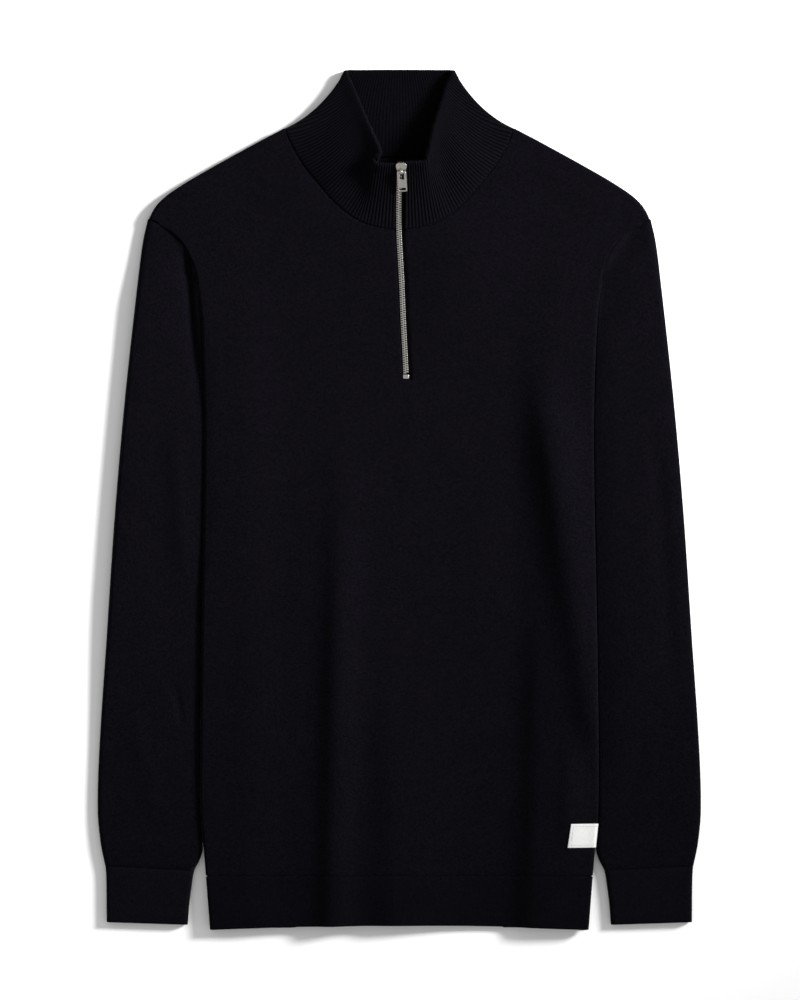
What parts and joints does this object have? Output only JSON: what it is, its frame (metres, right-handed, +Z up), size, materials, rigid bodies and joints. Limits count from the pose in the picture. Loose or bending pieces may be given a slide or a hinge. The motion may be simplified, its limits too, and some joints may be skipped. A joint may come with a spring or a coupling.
{
  "type": "quarter zip sweater",
  "caption": "Fine-knit quarter zip sweater laid flat on its back, with a ribbed funnel collar open at the top, long sleeves laid at the sides, plain hem and cuffs, and a metal zip.",
  "frame": {"origin": "on the surface that the sweater lies on, below the middle of its outline", "axes": "+X towards the wearer's left sleeve, +Y from the hem to the neck, +Z up out of the front"},
  "size_m": [0.5302, 0.756, 0.0329],
  "materials": {
    "jersey": "fine jersey knit, near-black navy, matt with a faint heather",
    "rib_knit": "fine rib knit, near-black navy, matt",
    "band_knit": "tight knit hem and cuff bands, near-black navy",
    "zip_tape": "woven zip tape, black",
    "zip_metal": "satin nickel",
    "label": "off-white woven label with a stitched edge"
  },
  "bodies": {
    "sweater": {"front_panel": "jersey", "back_panel": "jersey", "sleeve_left": "jersey", "sleeve_right": "jersey", "side_layers_left": "jersey", "side_layers_right": "jersey", "hem_front": "band_knit", "hem_back": "band_knit", "cuff_left": "band_knit", "cuff_right": "band_knit", "collar": "rib_knit", "zip_tape_left": "zip_tape", "zip_tape_right": "zip_tape", "zip_teeth_left": "zip_metal", "zip_teeth_right": "zip_metal", "zip_stop": "zip_metal", "zip_slider": "zip_metal", "side_label": "label"},
    "pull": {"zip_pull": "zip_metal"}
  },
  "joints": [
    {"name": "pull_swing", "type": "hinge", "parent": "sweater", "child": "pull", "pos_m": [0.00047, 0.28646, 0.03037], "axis": [-1, 0, 0], "range_deg": [0, 150]}
  ]
}
